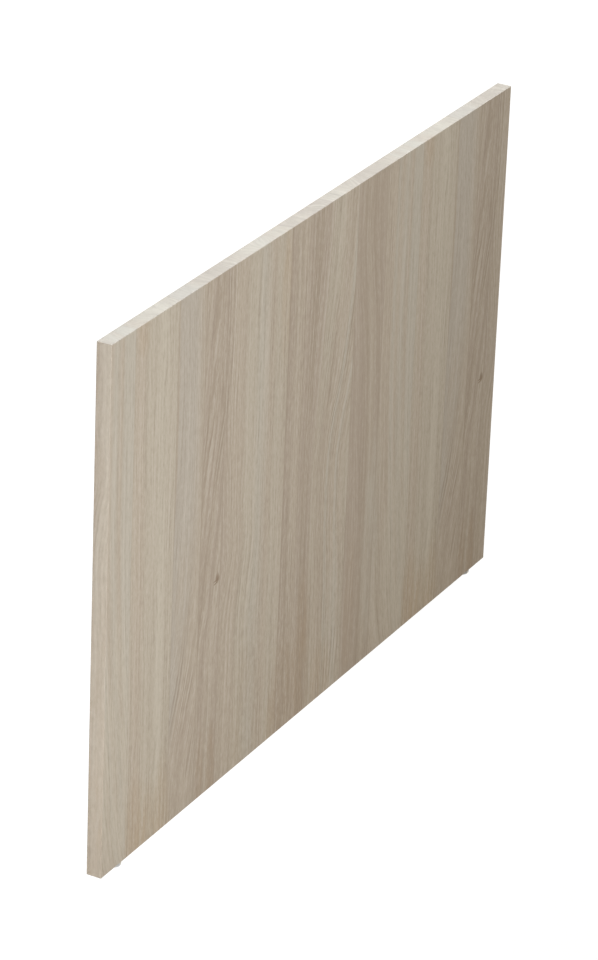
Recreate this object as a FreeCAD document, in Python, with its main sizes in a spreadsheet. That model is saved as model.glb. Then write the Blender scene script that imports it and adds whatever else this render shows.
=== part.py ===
# Bath panel: a flat board that closes the end of a bath, with two round glides under its bottom edge.
# It lies on its back: X runs along its width, Y up its height as fitted, Z out of its front face.
# The origin is the centre of the back face.
import FreeCAD, Part
import os
import Sketcher

# Driving sizes in millimetres
SIZES = {
    "board_width": 800.0,
    "board_height": 550.0,
    "board_thickness": 16.0,
    "arris_radius": 0.5,
    "glide_inset": 36.0,
    "glide_head_diameter": 15.0,
    "glide_head_height": 5.0,
    "glide_rim_radius": 2.0,
    "glide_peg_diameter": 6.0,
    "glide_peg_length": 14.0,
    "glide_peg_lead": 1.0,
    "peg_clearance": 0.05,
    "peg_end_room": 1.0,
}

# Each glide's node and the side of the board that it is on
GLIDES = {"glide_left": -1, "glide_right": 1}

# A glide's place: along X from the board's middle, up to the bottom edge, and at mid thickness
GLIDE_REACH = "(sizes.board_width / 2 - sizes.glide_inset)"
HALF_HEIGHT = "sizes.board_height / 2"
MID_THICKNESS = "sizes.board_thickness / 2"

# A sketch numbers the points of its lines and circles from 1, and its own axes from -1 down
START, END, CENTRE = range(1, 4)
LEVEL_AXIS, UPRIGHT_AXIS = range(-1, -3, -1)
SKETCH_ORIGIN = (LEVEL_AXIS, START)

SAME_PLACE = 1e-6


def make_sheet(doc):
    sheet = doc.addObject("Spreadsheet::Sheet", "sizes")
    for row, (alias, value) in enumerate(SIZES.items(), start=1):
        sheet.set(f"A{row}", alias)
        sheet.set(f"B{row}", str(value))
        sheet.setAlias(f"B{row}", alias)
    doc.recompute()
    return sheet


def make_body(doc, label):
    body = doc.addObject("PartDesign::Body", label)
    body.Label = label
    return body


def add_sketch(body, name, plane_role):
    plane = next(feature for feature in body.Origin.OriginFeatures if feature.Role == plane_role)
    sketch = body.newObject("Sketcher::SketchObject", name)
    sketch.AttachmentSupport = (plane, [""])
    sketch.MapMode = "FlatFace"
    return sketch


def bind(sketch, name, expression, kind, *places):
    # A named dimension of the sketch, driven by the sheet
    value = float(sketch.evalExpression(expression))
    index = sketch.addConstraint(Sketcher.Constraint(kind, *places, value))
    sketch.renameConstraint(index, name)
    sketch.setExpression(f"Constraints.{name}", expression)


def draw_outline(sketch, points):
    # A closed outline of level and upright lines, each starting where the one before it ends
    corners = [FreeCAD.Vector(x, y, 0) for x, y in points]
    lines = []
    for corner, next_corner in zip(corners, corners[1:] + corners[:1]):
        line = sketch.addGeometry(Part.LineSegment(corner, next_corner))
        direction = "Horizontal" if corner.y == next_corner.y else "Vertical"
        sketch.addConstraint(Sketcher.Constraint(direction, line))
        lines.append(line)
    for line, next_line in zip(lines, lines[1:] + lines[:1]):
        sketch.addConstraint(Sketcher.Constraint("Coincident", line, END, next_line, START))
    return lines


def round_edge(shape, radius, level):
    # The name of a turned shape's round edge, found by its radius and its height on the axis
    for number, edge in enumerate(shape.Edges, start=1):
        if not isinstance(edge.Curve, Part.Circle):
            continue
        same_radius = abs(edge.Curve.Radius - radius) < SAME_PLACE
        if same_radius and abs(edge.Curve.Center.z - level) < SAME_PLACE:
            return f"Edge{number}"
    raise RuntimeError(f"no round edge of radius {radius} at height {level}")


def make_board(doc, sheet):
    body = make_body(doc, "panel_board")

    # The face, centred on the origin
    face = add_sketch(body, "face", "XY_Plane")
    x = sheet.board_width / 2
    y = sheet.board_height / 2
    bottom, right, top = draw_outline(face, [(-x, -y), (x, -y), (x, y), (-x, y)])[:3]
    face.addConstraint(Sketcher.Constraint("Symmetric", bottom, START, top, START, *SKETCH_ORIGIN))
    bind(face, "width", "sizes.board_width", "DistanceX", bottom, START, bottom, END)
    bind(face, "height", "sizes.board_height", "DistanceY", right, START, right, END)
    slab = body.newObject("PartDesign::Pad", "slab")
    slab.Profile = face
    slab.setExpression("Length", "sizes.board_thickness")
    doc.recompute()

    # Every arris is softened alike
    arrises = body.newObject("PartDesign::Fillet", "arrises")
    arrises.Base = (slab, [""])
    arrises.UseAllEdges = True
    arrises.setExpression("Radius", "sizes.arris_radius")
    doc.recompute()

    # Blind holes for the glides' pegs, bored into the bottom edge
    holes = add_sketch(body, "peg_holes", "XZ_Plane")
    holes.setExpression("AttachmentOffset.Base.z", HALF_HEIGHT)
    for name, side in GLIDES.items():
        middle = FreeCAD.Vector(side * (x - sheet.glide_inset), sheet.board_thickness / 2, 0)
        ring = Part.Circle(middle, FreeCAD.Vector(0, 0, 1), sheet.glide_peg_diameter / 2)
        hole = (holes.addGeometry(ring), CENTRE)
        leftmost, rightmost = (hole, SKETCH_ORIGIN) if side < 0 else (SKETCH_ORIGIN, hole)
        bind(holes, f"{name}_reach", GLIDE_REACH, "DistanceX", *leftmost, *rightmost)
        bind(holes, f"{name}_level", MID_THICKNESS, "DistanceY", *SKETCH_ORIGIN, *hole)
        bind(holes, f"{name}_radius", "sizes.glide_peg_diameter / 2 + sizes.peg_clearance", "Radius", hole[0])
    bores = body.newObject("PartDesign::Pocket", "bores")
    bores.Profile = holes
    bores.setExpression("Length", "sizes.glide_peg_length + sizes.peg_end_room")
    doc.recompute()
    if bores.Shape.Volume >= arrises.Shape.Volume:
        raise RuntimeError("the peg holes point away from the board")
    return body


def make_glide(doc, sheet, label, side):
    # The body's Z is the glide's axis: the head hangs below Z = 0, where it seats, and the peg stands above
    body = make_body(doc, label)
    head = sheet.glide_head_diameter / 2
    peg = sheet.glide_peg_diameter / 2
    sole = -sheet.glide_head_height
    tip = sheet.glide_peg_length

    # Half of the section, turned about the upright axis
    half = add_sketch(body, f"{label}_half_section", "XZ_Plane")
    outline = [(0, sole), (head, sole), (head, 0), (peg, 0), (peg, tip), (0, tip)]
    sole_line, head_side, seat_line, peg_side, tip_line, axis_line = draw_outline(half, outline)
    half.addConstraint(Sketcher.Constraint("PointOnObject", seat_line, START, LEVEL_AXIS))
    half.addConstraint(Sketcher.Constraint("PointOnObject", axis_line, START, UPRIGHT_AXIS))
    bind(half, "head_height", "sizes.glide_head_height", "DistanceY", head_side, START, head_side, END)
    bind(half, "head_radius", "sizes.glide_head_diameter / 2", "DistanceX", sole_line, START, sole_line, END)
    bind(half, "peg_radius", "sizes.glide_peg_diameter / 2", "DistanceX", tip_line, END, tip_line, START)
    bind(half, "peg_length", "sizes.glide_peg_length", "DistanceY", peg_side, START, peg_side, END)
    turned = body.newObject("PartDesign::Revolution", f"{label}_turned")
    turned.Profile = half
    turned.ReferenceAxis = (half, ["V_Axis"])
    doc.recompute()

    # The head's lower rim is rounded, and the peg's tip is tapered to lead it into its hole
    rim = body.newObject("PartDesign::Fillet", f"{label}_rim")
    rim.Base = (turned, [round_edge(turned.Shape, head, sole)])
    rim.setExpression("Radius", "sizes.glide_rim_radius")
    doc.recompute()
    lead = body.newObject("PartDesign::Chamfer", f"{label}_lead")
    lead.Base = (rim, [round_edge(rim.Shape, peg, tip)])
    lead.setExpression("Size", "sizes.glide_peg_lead")

    # The peg points up the panel, and the head's seat lies on the bottom edge
    body.Placement.Rotation = FreeCAD.Rotation(FreeCAD.Vector(0, 0, 1), FreeCAD.Vector(0, 1, 0))
    body.setExpression("Placement.Base.x", f"{side} * {GLIDE_REACH}")
    body.setExpression("Placement.Base.y", f"-{HALF_HEIGHT}")
    body.setExpression("Placement.Base.z", MID_THICKNESS)
    doc.recompute()
    return body


def check(doc, bodies):
    for item in doc.Objects:
        if "Invalid" in item.State or "Error" in item.State:
            raise RuntimeError(f"{item.Label} failed: {item.State}")
    for body in bodies:
        if body.Shape.isNull() or not body.Shape.isValid():
            raise RuntimeError(f"{body.Label} has no sound shape")


def main():
    doc = FreeCAD.newDocument("bath_panel")
    sheet = make_sheet(doc)
    bodies = [make_board(doc, sheet)]
    for label, side in GLIDES.items():
        bodies.append(make_glide(doc, sheet, label, side))
    doc.recompute()
    check(doc, bodies)
    os.makedirs("parts", exist_ok=True)
    for body in bodies:
        body.Shape.exportStep(f"parts/{body.Label}.step")
        print(body.Label, round(body.Shape.Volume), "mm3")


main()
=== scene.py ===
# Bath panel: a board in pale wood decor on two moulded glides, lying on its back on a white floor.
import math

import bpy
import numpy as np
from mathutils import Matrix, Vector


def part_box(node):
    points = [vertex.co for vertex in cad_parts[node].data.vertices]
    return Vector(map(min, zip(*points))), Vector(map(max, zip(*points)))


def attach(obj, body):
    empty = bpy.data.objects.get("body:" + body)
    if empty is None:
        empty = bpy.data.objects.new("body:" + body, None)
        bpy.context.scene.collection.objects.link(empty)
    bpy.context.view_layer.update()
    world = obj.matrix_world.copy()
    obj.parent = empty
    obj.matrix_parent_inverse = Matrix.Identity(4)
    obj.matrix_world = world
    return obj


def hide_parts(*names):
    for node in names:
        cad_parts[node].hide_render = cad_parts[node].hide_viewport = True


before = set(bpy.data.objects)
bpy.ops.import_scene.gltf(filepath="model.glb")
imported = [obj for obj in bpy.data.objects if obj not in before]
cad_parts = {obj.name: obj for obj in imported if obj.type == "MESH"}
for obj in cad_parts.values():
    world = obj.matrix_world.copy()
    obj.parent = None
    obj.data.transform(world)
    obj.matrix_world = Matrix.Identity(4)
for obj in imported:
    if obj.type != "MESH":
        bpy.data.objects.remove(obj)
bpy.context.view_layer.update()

mmPerMetre = 1000.0
boardLow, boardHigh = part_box("panel_board")
scene = bpy.context.scene
scene.view_settings.view_transform = "Standard"
print("frame loaded:", sorted(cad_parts))


# Node helpers: a value given to a socket is another socket, which is linked, or a plain number or colour

def feed(tree, socket, value):
    if isinstance(value, bpy.types.NodeSocket):
        tree.links.new(value, socket)
    else:
        socket.default_value = value


def addNode(tree, kind, **settings):
    node = tree.nodes.new("ShaderNode" + kind)
    for name, value in settings.items():
        setattr(node, name, value)
    return node


def calc(tree, operation, first, second=0.0, third=0.0):
    node = addNode(tree, "Math", operation=operation)
    for socket, value in zip(node.inputs, (first, second, third)):
        feed(tree, socket, value)
    return node.outputs[0]


def remap(tree, value, low, high, toLow=0.0, toHigh=1.0, ease="LINEAR"):
    node = addNode(tree, "MapRange", interpolation_type=ease)
    for socket, given in zip(node.inputs, (value, low, high, toLow, toHigh)):
        feed(tree, socket, given)
    return node.outputs[0]


def mixNumbers(tree, share, first, second):
    node = addNode(tree, "Mix")
    for index, value in ((0, share), (2, first), (3, second)):      # the node's sockets for numbers
        feed(tree, node.inputs[index], value)
    return node.outputs[0]


def mixColours(tree, share, first, second):
    node = addNode(tree, "Mix", data_type="RGBA")
    for index, value in ((0, share), (6, first), (7, second)):      # the node's sockets for colours
        feed(tree, node.inputs[index], value)
    return node.outputs[2]


def noiseAt(tree, across, down, seed=0.0, detail=1.0, roughness=0.5):
    # soft noise from 0 to 1 on a sheet; each seed is another sheet
    place = addNode(tree, "CombineXYZ")
    for socket, value in zip(place.inputs, (across, down, seed)):
        feed(tree, socket, value)
    node = addNode(tree, "TexNoise")
    feed(tree, node.inputs["Vector"], place.outputs[0])
    for name, value in (("Scale", 1.0), ("Detail", detail), ("Roughness", roughness)):
        node.inputs[name].default_value = value
    return node.outputs[0]


def linear(colour):
    # screen colour, 0 to 255, to the linear colour a shader takes
    share = np.array(colour) / 255
    light = np.where(share <= 0.04045, share / 12.92, ((share + 0.055) / 1.055) ** 2.4)
    return (*light.tolist(), 1.0)


def grey(level):
    return (level, level, level, 1.0)


def newGroup(name, inputs, outputs):
    group = bpy.data.node_groups.new(name, "ShaderNodeTree")
    for label, kind in inputs:
        group.interface.new_socket(label, in_out="INPUT", socket_type="NodeSocket" + kind)
    for label, kind in outputs:
        group.interface.new_socket(label, in_out="OUTPUT", socket_type="NodeSocket" + kind)
    return group, group.nodes.new("NodeGroupInput").outputs, group.nodes.new("NodeGroupOutput").inputs


# Wood decor. Places are in mm: across from the left edge, down from the top edge.
# The print repeats, and each repeat is a row of staves with their own lines, drift of the grain and tones.
palette = {                     # screen colours, 0 to 255
    "bone": (185, 175, 159),
    "paleAsh": (179, 170, 156),
    "cream": (179, 168, 152),
    "beige": (177, 164, 148),
    "lilac": (174, 164, 151),
    "greyBrown": (173, 160, 144),
    "brown": (169, 155, 140),
    "umber": (165, 151, 135),
    "tan": (172, 153, 130),
    "warmBrown": (163, 145, 125),
    "darkLine": (136, 121, 106),
    "lightLine": (204, 195, 183),
    "knot": (118, 97, 76),
}

decor = {
    "repeat": 561.7,            # how far apart the print repeats, and its height
    "height": 550.0,
    "driftRoom": 60.0,          # furthest the grain drifts either way
    "wobble": 3.0,              # slow sideways wobble of the grain: its reach, width, length and detail
    "wobbleWide": 60.0,
    "wobbleTall": 160.0,
    "wobbleDetail": 2.0,
    "border": 0.5,              # half the width of the change from stave to stave
    "seam": 1.3,                # half the width of the fine dark line there, and how strongly it shows
    "seamShown": 0.22,
    "noiseStep": 7.3,           # how far apart the noises of two neighbouring staves are
    "noiseRough": 0.7,
    "ringGap": 5.6,             # spacing of the growth lines
    "ringTurns": 5.0,           # how many lines the spacing may gain or lose
    "ringDrift": (26.0, 220.0, 11.0),           # noise for that: width, length, seed
    "ringFloor": -0.4,          # how far their pale side goes
    "ringFade": (9.0, 90.0, 23.0),              # noise that fades them: width, length, seed
    "ringFadeRange": (-0.12, 0.2, 0.0, 1.6),    # its low and high, and the strength at each
    "rings": 0.12,              # how strongly they show, and how much more where they stand out
    "figure": 0.25,
    "brush": (8.0, 60.0, 3.0, 2.0),             # noise in the stains: width, length, seed, detail
    "brushRange": (-0.2, 0.2, 0.2, 1.4),        # its low and high, and the share of a stain at each
    "roughRange": (-0.3, 0.3, 0.6, 0.74),       # a light and a dark line, and the roughness of each
    "specular": 0.08,
    "bump": 0.25,
    "bumpDepth": 0.0001,        # in metres
    "fibres": [                 # lines along the grain: width, length, seed, detail, strength
        (20.0, 320.0, 31.0, 1.0, 0.1),
        (7.0, 320.0, 39.0, 1.0, 0.4),
        (2.9, 280.0, 47.0, 1.0, 0.76),
        (2.4, 10.0, 55.0, 2.0, 0.92),
        (0.8, 4.0, 63.0, 1.0, 0.32),
    ],
    "stains": [                 # soft stains: place, half size, tone, strength
        ((60, 545), (26, 95), "tan", 0.65),
        ((110, 545), (18, 95), "tan", 0.65),
        ((85, 555), (28, 80), "tan", 0.55),
        ((57, 8), (16, 30), "tan", 0.4),
        ((325, 60), (12, 95), "tan", 0.45),
        ((322, 545), (14, 55), "tan", 0.4),
        ((384, 490), (22, 130), "warmBrown", 0.8),
        ((345, 500), (22, 230), "umber", 0.9),
        ((402, 360), (16, 240), "greyBrown", 0.9),
        ((435, 60), (12, 80), "bone", 0.5),
        ((482, 480), (16, 110), "warmBrown", 0.35),
        ((181, 525), (10, 60), "warmBrown", 0.7),
        ((203, 535), (10, 70), "warmBrown", 0.9),
        ((148, 430), (24, 80), "brown", 0.35),
        ((145, 330), (26, 110), "greyBrown", 0.6),
        ((180, 300), (15, 55), "umber", 0.5),
        ((200, 80), (16, 130), "umber", 0.7),
        ((204, 298), (4, 30), "umber", 0.6),
        ((500, 50), (36, 140), "umber", 0.9),
        ((525, 410), (24, 150), "paleAsh", 0.6),
        ((585, 440), (36, 190), "bone", 0.8),
        ((447, 480), (22, 110), "paleAsh", 0.6),
        ((150, 480), (40, 90), "brown", 0.4),
        ((270, 510), (40, 130), "warmBrown", 0.25),
        ((345, 520), (36, 100), "warmBrown", 0.5),
        ((425, 535), (32, 60), "tan", 0.4),
        ((555, 480), (30, 100), "bone", 0.5),
        ((254, 720), (30, 220), "tan", 0.4),
    ],
    "figures": [                # where the growth lines stand out: place, half size, strength
        ((145, 460), (30, 105), 1.0),
        ((435, 190), (32, 110), 0.6),
        ((190, 120), (24, 150), 0.6),
        ((250, 340), (30, 80), 0.4),
        ((216, 80), (24, 170), 0.9),
        ((545, 40), (20, 100), 0.6),
        ((435, 510), (40, 90), 0.4),
    ],
}

knot = {
    "wedge": (206.0, 319.7),
    "wedgeHalf": (5.2, 6.2),
    "wedgeTop": 0.55,           # width of the wedge's upper end, as a share of its lower end's
    "wedgeFaint": 0.3,          # how strongly it shows at its upper end, and at its foot
    "wedgeShown": 1.0,
    "wedgeRim": 1.3,            # squared distance at which it has faded out
    "flecks": (202.9, 323.9),
    "flecksHalf": (4.5, 3.4),
    "flecksShown": 1.0,
    "flecksRim": (0.1, 1.2),    # squared distances between which they fade out
    "fleckGap": 3.0,            # spacing of the flecks, and how far they fall in each mm across
    "fleckSlant": -0.1,
    "fleckCrest": -0.9,         # value of the wave across them where they are darkest
    "ragged": 1.2,              # how far the outlines stray, and the size of a stray
    "raggedSize": 2.5,
}

# A stave: its left side, the strength of its lines, two places across with the share of the drift at each,
# the drift as places down with the way the grain has gone sideways, and the tones from left to right
staves = [
    {"start": 42.5, "lines": 1.05, "reach": (45, 1.0, 100, 0.3),
     "drift": [(0, 0), (150, 2), (385, 6), (550, 7)],
     "tones": [(35, "cream"), (48, "beige"), (57, "beige"), (66, "cream"), (84, "cream"), (95, "bone"),
               (106, "cream"), (120, "cream")]},
    {"start": 120.0, "lines": 0.9, "reach": (120, 1.0, 168, 1.0),
     "drift": [(0, 0), (230, 0), (350, -9), (400, -20), (450, -34), (490, -44), (550, -48)],
     "tones": [(120, "greyBrown"), (123, "lilac"), (150, "lilac"), (168, "greyBrown"), (180, "greyBrown"),
               (203, "beige"), (216, "greyBrown")]},
    {"start": 171.0, "lines": 1.0, "reach": (168, 1.0, 211, 1.0),
     "drift": [(0, 0), (60, -4), (110, -9), (150, -13), (180, -19), (215, -26), (260, -32), (300, -39),
               (350, -45), (380, -52), (450, -54), (550, -57)],
     "tones": [(168, "brown"), (178, "greyBrown"), (187, "brown"), (191, "umber"), (203, "umber"),
               (206, "greyBrown"), (209, "brown"), (222, "umber"), (228, "greyBrown"), (232, "brown"),
               (248, "greyBrown"), (268, "brown")]},
    {"start": 211.0, "lines": 1.05, "reach": (255, 1.0, 300, 0.0),
     "drift": [(0, 0), (250, 0), (305, 3), (345, -4), (390, -10), (430, -9), (550, -9)],
     "tones": [(207, "brown"), (226, "greyBrown"), (236, "beige"), (248, "greyBrown"), (256, "cream"),
               (268, "cream"), (280, "paleAsh"), (300, "beige"), (312, "cream"), (345, "beige")]},
    {"start": 332.0, "lines": 1.1, "reach": (350, 0.0, 430, 1.0),
     "drift": [(0, 0), (80, -6), (130, -13), (170, -20), (210, -30), (240, -40), (270, -47), (290, -50),
               (350, -49), (400, -45), (450, -43), (550, -42)],
     "tones": [(332, "umber"), (336, "brown"), (348, "greyBrown"), (362, "beige"), (374, "brown"),
               (384, "umber"), (396, "umber"), (408, "brown"), (424, "cream"), (436, "cream"),
               (446, "beige"), (458, "greyBrown"), (466, "beige"), (471, "paleAsh"), (478, "greyBrown"),
               (488, "beige"), (491, "paleAsh"), (498, "beige"), (518, "cream")]},
    {"start": 468.0, "lines": 0.68, "reach": (468, 1.0, 530, 1.0),
     "drift": [(0, 0), (100, 5), (150, 12), (200, 17), (250, 20), (550, 22)],
     "tones": [(446, "brown"), (470, "brown"), (484, "umber"), (493, "greyBrown"), (503, "umber"),
               (518, "brown"), (530, "greyBrown")]},
    {"start": 530.0, "lines": 0.8, "reach": (530, 1.0, 605, 1.0),
     "drift": [(0, 0), (200, 0), (260, 3), (350, 8), (400, 13), (450, 20), (500, 26), (550, 38)],
     "tones": [(492, "beige"), (524, "greyBrown"), (540, "beige"), (549, "beige"), (554, "paleAsh"),
               (562, "beige"), (572, "paleAsh"), (582, "beige"), (588, "paleAsh"), (605, "paleAsh")]},
]


def driftCurve(tree, down, points):
    # sideways drift of the grain, in mm, as a smooth curve through the listed points
    node = addNode(tree, "FloatCurve")
    curve = node.mapping.curves[0]
    places = [(y / decor["height"], 0.5 + x / (2 * decor["driftRoom"])) for y, x in points]
    curve.points[0].location = places[0]
    curve.points[1].location = places[-1]
    for x, y in places[1:-1]:
        curve.points.new(x, y)
    node.mapping.update()
    feed(tree, node.inputs["Value"], remap(tree, down, 0.0, decor["height"]))
    return remap(tree, node.outputs[0], 0.0, 1.0, -decor["driftRoom"], decor["driftRoom"])


def toneRamp(tree, across, tones):
    # colours blended evenly from each tone's place to the next
    low, high = tones[0][0], tones[-1][0]
    node = addNode(tree, "ValToRGB")
    stops = node.color_ramp.elements
    while len(stops) < len(tones):
        stops.new(0.5)
    for stop, (place, name) in zip(stops, tones):
        stop.position = (place - low) / (high - low)
        stop.color = linear(palette[name])
    feed(tree, node.inputs[0], remap(tree, across, low, high))
    return node.outputs[0]


def layStaves(tree, at):
    # each stave's tones in their place along its own grain;
    # "at" gains the grain, the stave's number, the strength of its lines and the seams
    across, down = at["across"], at["down"]
    wobble = noiseAt(tree, calc(tree, "DIVIDE", across, decor["wobbleWide"]),
                     calc(tree, "DIVIDE", down, decor["wobbleTall"]), detail=decor["wobbleDetail"])
    wobble = remap(tree, wobble, 0.0, 1.0, -decor["wobble"], decor["wobble"])
    # what stands before the first border, where the loop begins
    grain, colour, number, strength, seam = 0.0, linear(palette["beige"]), 0.0, 1.0, 0.0
    for index, stave in enumerate(staves):
        low, lowReach, high, highReach = stave["reach"]
        reach = remap(tree, across, low, high, lowReach, highReach, "SMOOTHSTEP")
        drift = calc(tree, "MULTIPLY", driftCurve(tree, down, stave["drift"]), reach)
        own = calc(tree, "ADD", calc(tree, "SUBTRACT", across, drift), wobble)
        past = remap(tree, across, stave["start"] - decor["border"], stave["start"] + decor["border"])
        grain = mixNumbers(tree, past, grain, own)
        colour = mixColours(tree, past, colour, toneRamp(tree, own, stave["tones"]))
        number = mixNumbers(tree, past, number, float(index))
        strength = mixNumbers(tree, past, strength, stave["lines"])
        away = calc(tree, "ABSOLUTE", calc(tree, "SUBTRACT", across, stave["start"]))
        seam = calc(tree, "MAXIMUM", seam, remap(tree, away, 0.0, decor["seam"], decor["seamShown"], 0.0))
    at.update(grain=grain, stave=number, lines=strength, seam=seam)
    return colour


def alongGrain(tree, at, wide, tall, seed, detail=1.0):
    # noise stretched along the grain, about zero; each stave has its own
    sheet = calc(tree, "MULTIPLY_ADD", at["stave"], decor["noiseStep"], seed)
    across = calc(tree, "DIVIDE", at["grain"], wide)
    down = calc(tree, "DIVIDE", at["down"], tall)
    noise = noiseAt(tree, across, down, sheet, detail, decor["noiseRough"])
    return calc(tree, "SUBTRACT", noise, 0.5)


def fromOval(tree, at, middle, half, topShare=1.0, stray=0.0):
    # distance from the middle of an oval, squared, with 1 at its rim;
    # its top can be narrower and its outline ragged
    along = calc(tree, "ADD", calc(tree, "SUBTRACT", at["down"], middle[1]), stray)
    along = calc(tree, "DIVIDE", along, half[1])
    width = remap(tree, along, -1.0, 1.0, half[0] * topShare, half[0])
    across = calc(tree, "ADD", calc(tree, "SUBTRACT", at["across"], middle[0]), stray)
    across = calc(tree, "DIVIDE", across, width)
    return calc(tree, "ADD", calc(tree, "MULTIPLY", across, across), calc(tree, "MULTIPLY", along, along))


def addStains(tree, at, colour):
    # ovals of colour that fade to their rims, broken up along the grain
    brushed = remap(tree, alongGrain(tree, at, *decor["brush"]), *decor["brushRange"])
    for middle, half, name, strength in decor["stains"]:
        share = remap(tree, fromOval(tree, at, middle, half), 0.0, 1.0, strength, 0.0, "SMOOTHSTEP")
        colour = mixColours(tree, calc(tree, "MULTIPLY", share, brushed), colour, linear(palette[name]))
    return colour


def growthLines(tree, at):
    # a sine across the grain whose spacing and strength vary slowly, stronger inside the figures
    shown = decor["rings"]
    for middle, half, strength in decor["figures"]:
        extra = fromOval(tree, at, middle, half)
        extra = remap(tree, extra, 0.0, 1.0, strength * decor["figure"], 0.0, "SMOOTHSTEP")
        shown = calc(tree, "ADD", extra, shown)
    turns = calc(tree, "MULTIPLY_ADD", alongGrain(tree, at, *decor["ringDrift"]), decor["ringTurns"],
                 calc(tree, "DIVIDE", at["grain"], decor["ringGap"]))
    rings = calc(tree, "SINE", calc(tree, "MULTIPLY", turns, 2 * math.pi))
    rings = calc(tree, "MAXIMUM", rings, decor["ringFloor"])
    fade = remap(tree, alongGrain(tree, at, *decor["ringFade"]), *decor["ringFadeRange"])
    return calc(tree, "MULTIPLY", calc(tree, "MULTIPLY", rings, fade), shown)


def knotMark(tree, at):
    # a wedge that widens and darkens downwards, and a fleck half a gap either side of a middle below it
    stray = noiseAt(tree, calc(tree, "DIVIDE", at["across"], knot["raggedSize"]),
                    calc(tree, "DIVIDE", at["down"], knot["raggedSize"]))
    stray = calc(tree, "MULTIPLY", calc(tree, "SUBTRACT", stray, 0.5), knot["ragged"])
    middle, half = knot["wedge"][1], knot["wedgeHalf"][1]
    shown = remap(tree, at["down"], middle - half, middle + half, knot["wedgeFaint"], knot["wedgeShown"])
    wedge = fromOval(tree, at, knot["wedge"], knot["wedgeHalf"], knot["wedgeTop"], stray)
    wedge = remap(tree, wedge, 0.0, knot["wedgeRim"], shown, 0.0, "SMOOTHSTEP")

    beside = calc(tree, "SUBTRACT", at["across"], knot["flecks"][0])
    below = calc(tree, "SUBTRACT", at["down"], knot["flecks"][1])
    below = calc(tree, "ADD", calc(tree, "MULTIPLY_ADD", beside, -knot["fleckSlant"], below), stray)
    fleck = calc(tree, "COSINE", calc(tree, "MULTIPLY", below, 2 * math.pi / knot["fleckGap"]))
    flecks = fromOval(tree, at, knot["flecks"], knot["flecksHalf"], stray=stray)
    flecks = remap(tree, flecks, *knot["flecksRim"], knot["flecksShown"], 0.0)
    flecks = calc(tree, "MULTIPLY", flecks, remap(tree, fleck, 0.0, knot["fleckCrest"]))
    return calc(tree, "MAXIMUM", wedge, flecks)


def decorGroup():
    # the whole print at one place: staves, stains, then lines darker or lighter than them, then the knot
    tree, given, result = newGroup("woodDecor", [("Across", "Float"), ("Down", "Float")],
                                   [("Color", "Color"), ("Roughness", "Float"), ("Height", "Float")])
    first = staves[0]["start"]
    across = calc(tree, "WRAP", given["Across"], first + decor["repeat"], first)
    at = {"across": across, "down": given["Down"]}
    colour = addStains(tree, at, layStaves(tree, at))

    lines = growthLines(tree, at)
    for wide, tall, seed, detail, strength in decor["fibres"]:
        fibres = alongGrain(tree, at, wide, tall, seed, detail)
        lines = calc(tree, "MULTIPLY_ADD", fibres, strength, lines)
    lines = calc(tree, "MULTIPLY_ADD", lines, at["lines"], at["seam"])
    dark = calc(tree, "MAXIMUM", lines, 0.0)
    light = calc(tree, "MAXIMUM", calc(tree, "MULTIPLY", lines, -1.0), 0.0)
    colour = mixColours(tree, dark, colour, linear(palette["darkLine"]))
    colour = mixColours(tree, light, colour, linear(palette["lightLine"]))
    colour = mixColours(tree, knotMark(tree, at), colour, linear(palette["knot"]))

    feed(tree, result["Color"], colour)
    feed(tree, result["Roughness"], remap(tree, lines, *decor["roughRange"]))
    feed(tree, result["Height"], lines)
    return tree


edge = {
    "tone": (218, 223, 228),    # what the long edges go towards, and how far; part of this is painted light, the pale cool grey of a brightly lit edge
    "pale": 0.27,
    # painted light: the warm cream that the ends go towards, lightest next to the front
    "endLitTone": (255, 238, 216),
    "endLitShare": 0.15,            # how far the ends go towards the warm cream at their front, and at their back: painted light, so they read lighter as if lit
    "endLitShareBack": 0.05,
    "endShift": 262.0,          # where the ends and the back take their print from, in mm
    "endDrop": 170.0,
    "backShift": 130.0,
    "lean": 0.8,                # how far lines lean on a long edge, and over how many mm that changes
    "leanWide": 45.0,
    "leanRange": (0.3, 0.7),    # values of the noise at which they lean furthest
}


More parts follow.
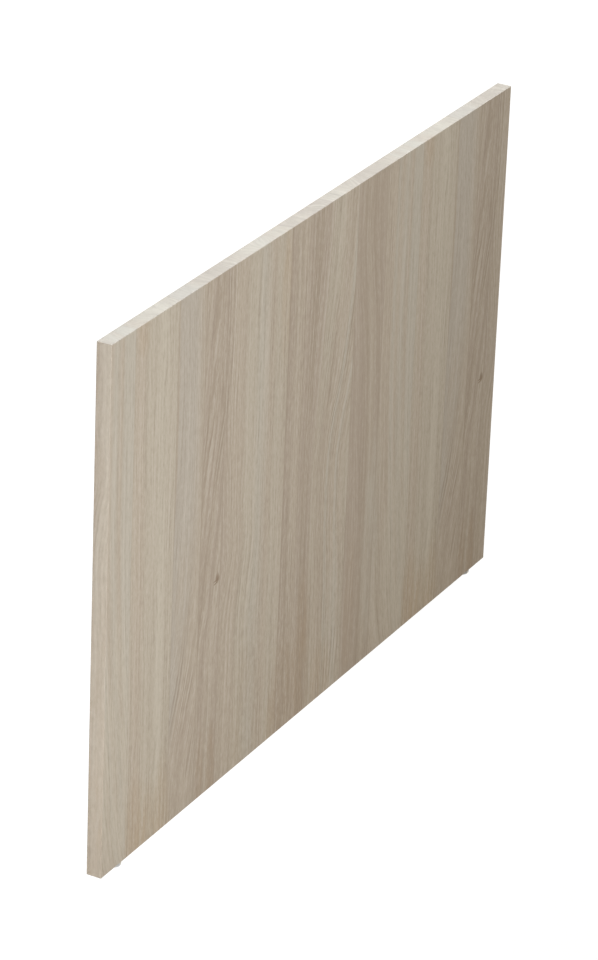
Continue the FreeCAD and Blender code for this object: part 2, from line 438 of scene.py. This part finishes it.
def decorMaterial():
    material = bpy.data.materials.new("woodDecor")
    material.use_nodes = True
    tree = material.node_tree
    shader = tree.nodes["Principled BSDF"]

    # the print folds over the long edges: there, its place down goes on by the depth below the front
    given = addNode(tree, "TexCoord").outputs
    inMm = addNode(tree, "VectorMath", operation="SCALE")
    feed(tree, inMm.inputs[0], given["Object"])
    inMm.inputs["Scale"].default_value = mmPerMetre
    place = addNode(tree, "SeparateXYZ")
    feed(tree, place.inputs[0], inMm.outputs[0])
    facing = addNode(tree, "SeparateXYZ")
    feed(tree, facing.inputs[0], given["Normal"])
    low, high = boardLow * mmPerMetre, boardHigh * mmPerMetre
    depth = calc(tree, "SUBTRACT", high.z, place.outputs["Z"])
    isEnd = calc(tree, "ABSOLUTE", calc(tree, "ROUND", facing.outputs["X"]))
    longEdge = calc(tree, "ROUND", facing.outputs["Y"])
    across = calc(tree, "SUBTRACT", place.outputs["X"], low.x)
    down = calc(tree, "SUBTRACT", calc(tree, "SUBTRACT", high.y, place.outputs["Y"]),
                calc(tree, "MULTIPLY", longEdge, depth))

    # on a long edge the lines lean one way and the other; an end and the back show other parts of the print
    lean = noiseAt(tree, calc(tree, "DIVIDE", across, edge["leanWide"]), 0.0)
    lean = remap(tree, lean, *edge["leanRange"], -edge["lean"], edge["lean"])
    lean = calc(tree, "MULTIPLY", lean, calc(tree, "MULTIPLY", calc(tree, "ABSOLUTE", longEdge), depth))
    across = calc(tree, "ADD", across, lean)
    across = mixNumbers(tree, isEnd, across, calc(tree, "SUBTRACT", edge["endShift"], depth))
    down = calc(tree, "MULTIPLY_ADD", isEnd, edge["endDrop"], down)
    fromRight = calc(tree, "SUBTRACT", high.x - low.x + edge["backShift"], across)
    isBack = calc(tree, "LESS_THAN", facing.outputs["Z"], -0.5)
    across = mixNumbers(tree, isBack, across, fromRight)

    grain = addNode(tree, "Group", node_tree=decorGroup())
    feed(tree, grain.inputs["Across"], across)
    feed(tree, grain.inputs["Down"], down)

    # the long edges go towards a pale cool grey, partly painted light for a brightly lit edge; the ends go
    # towards a warm cream, painted light that is strongest next to the front
    colour = grain.outputs["Color"]
    endLitShare = remap(tree, depth, 0.0, high.z - low.z, edge["endLitShare"], edge["endLitShareBack"])
    for axis, tone, pale in (("Y", edge["tone"], edge["pale"]), ("X", edge["endLitTone"], endLitShare)):
        share = calc(tree, "MULTIPLY", calc(tree, "ABSOLUTE", facing.outputs[axis]), pale)
        colour = mixColours(tree, share, colour, linear(tone))
    feed(tree, shader.inputs["Base Color"], colour)
    feed(tree, shader.inputs["Roughness"], grain.outputs["Roughness"])
    shader.inputs["Specular IOR Level"].default_value = decor["specular"]
    bump = addNode(tree, "Bump")
    bump.inputs["Strength"].default_value = decor["bump"]
    bump.inputs["Distance"].default_value = decor["bumpDepth"]
    feed(tree, bump.inputs["Height"], grain.outputs["Height"])
    feed(tree, shader.inputs["Normal"], bump.outputs[0])
    return material


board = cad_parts["panel_board"]
board.material_slots[0].material = decorMaterial()
print("board: wood decor with", len(staves), "staves in each repeat")


# Glides: moulded buttons on pegs. Lengths are in metres.
glide = {
    "crown": 0.0003,            # how much lower the sole's middle is than its rim
    "rim": 0.002,               # radius of the rim, and the small bevel at the seat
    "arris": 0.0003,
    "pegRadius": 0.003,
    "pegLead": 0.001,
    "arcSteps": 8,
    "turnSteps": 72,
    "sharpAngle": 40.0,         # in degrees
    "shade": (176, 175, 172),   # the two tones of the clouded plastic; their grey is set darker in part as painted shade, the shade of the glides beside the board
    "milk": (192, 191, 188),
    "cloudScale": 300.0,
    "roughRange": (0.3, 0.7, 0.35, 0.5),        # low and high cloud, and the roughness at each
}


def glideProfile(head, sole, tip):
    # radius and height of half the section: a crowned sole, a quarter-round rim, the side, the seat at
    # height 0, and the peg with its tapered tip; the crown is a parabola and the rim an arc
    across = np.linspace(0.0, head - glide["rim"], glide["arcSteps"])
    crown = sole + glide["crown"] * (across / across[-1]) ** 2
    turn = np.linspace(0.0, math.pi / 2, glide["arcSteps"])[1:]
    rimRadius = across[-1] + glide["rim"] * np.sin(turn)
    rimHeight = crown[-1] + glide["rim"] * (1.0 - np.cos(turn))
    peg, lead, arris = glide["pegRadius"], glide["pegLead"], glide["arris"]
    radius = [*across, *rimRadius, head, head - arris, peg, peg, peg - lead, 0.0]
    height = [*crown, *rimHeight, -arris, 0.0, 0.0, tip - lead, tip, tip]
    return np.array(radius), np.array(height)


def turnedPiece(name, radius, height, axis):
    # the profile carried once round an axis along Y: x = radius cos(turn), y = height,
    # z = radius sin(turn); its first and last points lie on the axis and close the ends
    turn = np.linspace(0.0, 2 * math.pi, glide["turnSteps"], endpoint=False)
    side = radius[1:-1, None]
    x, y, z = np.broadcast_arrays(side * np.cos(turn), height[1:-1, None], side * np.sin(turn))
    grid = np.stack([x, y, z], axis=-1)
    poles = [(0.0, height[0], 0.0), (0.0, height[-1], 0.0)]
    points = np.concatenate([poles, grid.reshape(-1, 3)]) + axis

    number = 2 + np.arange(grid.shape[0] * len(turn)).reshape(grid.shape[:2])
    beside = np.roll(number, -1, axis=1)
    walls = np.stack([number[:-1], number[1:], beside[1:], beside[:-1]], axis=-1).reshape(-1, 4)
    bottom = np.stack([np.zeros_like(turn, dtype=int), number[0], beside[0]], axis=-1)
    top = np.stack([np.ones_like(turn, dtype=int), beside[-1], number[-1]], axis=-1)

    mesh = bpy.data.meshes.new(name)
    mesh.from_pydata(points.tolist(), [], walls.tolist() + bottom.tolist() + top.tolist())
    mesh.shade_smooth()
    mesh.set_sharp_from_angle(angle=math.radians(glide["sharpAngle"]))
    piece = bpy.data.objects.new(name, mesh)
    scene.collection.objects.link(piece)
    return piece


def glideMaterial():
    material = bpy.data.materials.new("glidePlastic")
    material.use_nodes = True
    tree = material.node_tree
    shader = tree.nodes["Principled BSDF"]
    cloud = addNode(tree, "TexNoise")
    feed(tree, cloud.inputs["Vector"], addNode(tree, "TexCoord").outputs["Object"])
    cloud.inputs["Scale"].default_value = glide["cloudScale"]
    colour = mixColours(tree, cloud.outputs[0], linear(glide["shade"]), linear(glide["milk"]))
    feed(tree, shader.inputs["Base Color"], colour)
    feed(tree, shader.inputs["Roughness"], remap(tree, cloud.outputs[0], *glide["roughRange"]))
    return material


plastic = glideMaterial()
for name, node in (("glideLeft", "glide_left"), ("glideRight", "glide_right")):
    low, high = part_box(node)
    seat = np.array([(low.x + high.x) / 2, boardLow.y, (low.z + high.z) / 2])
    radius, height = glideProfile((high.x - low.x) / 2, low.y - boardLow.y, high.y - boardLow.y)
    piece = turnedPiece(name, radius, height, seat)
    piece.data.materials.append(plastic)
    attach(piece, "root")
    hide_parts(node)
print("glides: turned buttons in milky plastic")


# Floor, world and lamps. Lengths are in metres, powers in watts, angles in degrees.
stage = {
    "halfWidth": 20.0,
    "shown": 0.95,              # own white of the floor as the camera sees it
    "shadowed": 0.2,            # share of the light on it that is added, so that a shadow shows
    "bounce": 0.6,              # how much light it throws back at the board
    "fill": 0.06,               # even light from all round
    "fillTint": (1.2, 0.9, 0.5),
}

lamps = {
    "topLamp": {"place": (0.17, 2.44, 0.78), "aim": (0.0, 0.0, 0.0), "size": (1.8, 0.6), "power": 72.5,
                "spread": 180.0, "tint": (0.96, 0.99, 0.99)},
    "sideLamp": {"place": (-2.58, -0.87, 2.08), "aim": (-0.57, 0.02, 0.0), "size": (1.0, 1.0), "power": 5.7,
                 "spread": 36.4, "tint": (0.985, 1.02, 1.07)},
    "lowLamp": {"place": (2.0, -2.0, 0.6), "aim": (0.1, -0.1, 0.0), "size": (1.2, 0.6), "power": 18.0,
                "spread": 180.0, "tint": (1.0, 0.8, 0.5)},
}


def shownRays(tree):
    # 1 for what the camera sees directly, in a reflection or through something clear
    path = addNode(tree, "LightPath").outputs
    shown = calc(tree, "MAXIMUM", path["Is Camera Ray"], path["Is Glossy Ray"])
    return calc(tree, "MAXIMUM", shown, path["Is Transmission Ray"])


def floorMaterial():
    material = bpy.data.materials.new("whiteFloor")
    material.use_nodes = True
    tree = material.node_tree
    tree.nodes.remove(tree.nodes["Principled BSDF"])
    plain = addNode(tree, "BsdfDiffuse")
    plain.inputs["Color"].default_value = grey(stage["bounce"])
    faint = addNode(tree, "BsdfDiffuse")
    faint.inputs["Color"].default_value = grey(stage["shadowed"])
    white = addNode(tree, "Emission")
    white.inputs["Strength"].default_value = stage["shown"]
    both = addNode(tree, "AddShader")
    tree.links.new(faint.outputs[0], both.inputs[0])
    tree.links.new(white.outputs[0], both.inputs[1])
    pick = addNode(tree, "MixShader")
    feed(tree, pick.inputs[0], shownRays(tree))
    tree.links.new(plain.outputs[0], pick.inputs[1])
    tree.links.new(both.outputs[0], pick.inputs[2])
    tree.links.new(pick.outputs[0], tree.nodes["Material Output"].inputs["Surface"])
    return material


def addFloor():
    half = stage["halfWidth"]
    mesh = bpy.data.meshes.new("floor")
    corners = [(-half, -half, 0), (half, -half, 0), (half, half, 0), (-half, half, 0)]
    mesh.from_pydata(corners, [], [(0, 1, 2, 3)])
    mesh.materials.append(floorMaterial())
    floor = bpy.data.objects.new("floor", mesh)
    scene.collection.objects.link(floor)


def addWorld():
    world = bpy.data.worlds.new("studio")
    world.use_nodes = True
    scene.world = world
    tree = world.node_tree
    fill = (*[stage["fill"] * share for share in stage["fillTint"]], 1.0)
    shade = mixColours(tree, shownRays(tree), fill, grey(1.0))
    feed(tree, tree.nodes["Background"].inputs["Color"], shade)


def addLamp(name, lamp):
    light = bpy.data.lights.new(name, "AREA")
    light.shape = "RECTANGLE"
    light.size, light.size_y = lamp["size"]
    light.energy = lamp["power"]
    light.spread = math.radians(lamp["spread"])
    light.color = lamp["tint"]
    holder = bpy.data.objects.new(name, light)
    holder.location = lamp["place"]
    holder.rotation_euler = (Vector(lamp["aim"]) - holder.location).to_track_quat("-Z", "Y").to_euler()
    holder.visible_camera = False
    scene.collection.objects.link(holder)


addFloor()
addWorld()
for name, lamp in lamps.items():
    addLamp(name, lamp)
print("studio: floor, world and", len(lamps), "lamps")


# Camera: the panel's own height runs up the picture, with a slight roll.
# Places are in metres, the roll in degrees, lens and sensor in mm.
camera = {
    "eye": (-3.3746, 1.8131, 1.7952),
    "aim": (-0.0514, 0.2063, 0.016),
    "roll": 2.2469,
    "lens": 159.5,
    "sensor": 36.0,
    "shiftUp": -0.2,
    "farthest": 100.0,
}


def addCamera():
    data = bpy.data.cameras.new("camera")
    data.lens = camera["lens"]
    data.sensor_width = data.sensor_height = camera["sensor"]
    data.shift_y = camera["shiftUp"]
    data.clip_end = camera["farthest"]
    eye = Vector(camera["eye"])
    forward = (Vector(camera["aim"]) - eye).normalized()
    right = forward.cross(Vector((0, 1, 0))).normalized()
    up = right.cross(forward)
    roll = Matrix.Rotation(math.radians(camera["roll"]), 3, "Z")
    turn = Matrix((right, up, -forward)).transposed() @ roll
    item = bpy.data.objects.new("camera", data)
    item.matrix_world = Matrix.Translation(eye) @ turn.to_4x4()
    scene.collection.objects.link(item)
    scene.camera = item


addCamera()
print("camera set")
